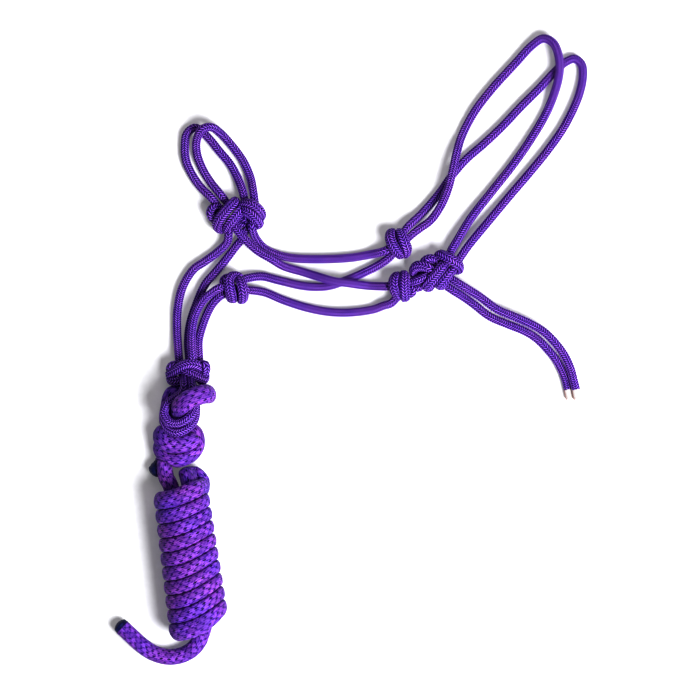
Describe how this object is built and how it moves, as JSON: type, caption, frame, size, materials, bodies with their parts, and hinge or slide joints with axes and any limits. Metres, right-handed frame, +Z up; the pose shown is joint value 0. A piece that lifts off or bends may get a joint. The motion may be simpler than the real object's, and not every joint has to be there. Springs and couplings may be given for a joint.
{
  "type": "rope halter with lead rope",
  "caption": "Knotted rope halter for a pony, laid flat, with a doubled noseband and crown, a tie at the cheek and a hanked lead rope looped to it.",
  "frame": {"origin": "on the surface that the halter lies on, under the middle of the halter without its lead rope", "axes": "+Z up off the surface, +Y from the lead rope towards the crown, +X from the noseband towards the free tails"},
  "size_m": [0.4266, 0.5651, 0.0511],
  "materials": {
    "halter_braid": "tight round-braided polyester cord, violet with darker gaps between the plaits, slight sheen",
    "lead_braid": "soft solid-braid rope, purple with coarse stitches and dark flecks, slight fuzz",
    "whipping": "white whipped ends with a copper tint along their edges",
    "lead_seal": "melted and sealed rope end, dark blue, slightly glossy"
  },
  "bodies": {
    "halter": {"near_nose_knot": "halter_braid", "off_nose_knot": "halter_braid", "jaw_knot": "halter_braid", "off_cheek_knot": "halter_braid", "near_cheek_knot": "halter_braid", "tie_knot": "halter_braid", "fiador_knot": "halter_braid", "chin_strand_near": "halter_braid", "chin_strand_off": "halter_braid", "jaw_strand_near": "halter_braid", "jaw_strand_off": "halter_braid", "cheek_strand_near": "halter_braid", "cheek_strand_off": "halter_braid", "throat_strand_near": "halter_braid", "throat_strand_off": "halter_braid", "tie_loop_upper": "halter_braid", "tie_loop_lower": "halter_braid", "fiador_loop_outer": "halter_braid", "fiador_loop_inner": "halter_braid", "lead_eye": "lead_braid"},
    "noseband": {"noseband_strand_outer": "halter_braid", "noseband_strand_inner": "halter_braid"},
    "crown": {"crown_strand_inner": "halter_braid", "crown_strand_outer": "halter_braid"},
    "tails": {"tail_strand_upper": "halter_braid", "tail_strand_lower": "halter_braid", "tail_whipping_upper": "whipping", "tail_whipping_lower": "whipping"},
    "lead_head": {"lead_knot": "lead_braid", "lead_stub": "lead_seal"},
    "lead_coil": {"lead_neck": "lead_braid", "hank_bight": "lead_braid", "lead_hank": "lead_braid"},
    "lead_end": {"lead_tail": "lead_braid", "lead_tail_tip": "lead_seal"}
  },
  "joints": [
    {"name": "noseband_fold", "type": "hinge", "parent": "halter", "child": "noseband", "pos_m": [-0.1275, 0.0372, 0.009], "axis": [0.9908, 0.1356, 0], "range_deg": [0, 100]},
    {"name": "crown_fold", "type": "hinge", "parent": "halter", "child": "crown", "pos_m": [0.058, 0.00038, 0.009], "axis": [0.9576, -0.2881, 0], "range_deg": [0, 100]},
    {"name": "tails_swing", "type": "hinge", "parent": "halter", "child": "tails", "pos_m": [0.0745, -0.047, 0.009], "axis": [0, 0, 1], "range_deg": [-35, 35]},
    {"name": "lead_swing", "type": "hinge", "parent": "halter", "child": "lead_head", "pos_m": [-0.1764, -0.19, 0.016], "axis": [0, 0, 1], "range_deg": [-30, 30]},
    {"name": "lead_lift", "type": "hinge", "parent": "lead_head", "child": "lead_coil", "pos_m": [-0.1858, -0.217, 0.016], "axis": [-0.993, -0.118, 0], "range_deg": [0, 30]},
    {"name": "lead_tail_swing", "type": "hinge", "parent": "lead_coil", "child": "lead_end", "pos_m": [-0.1545, -0.357, 0.00725], "axis": [0, 0, 1], "range_deg": [-20, 50]}
  ]
}
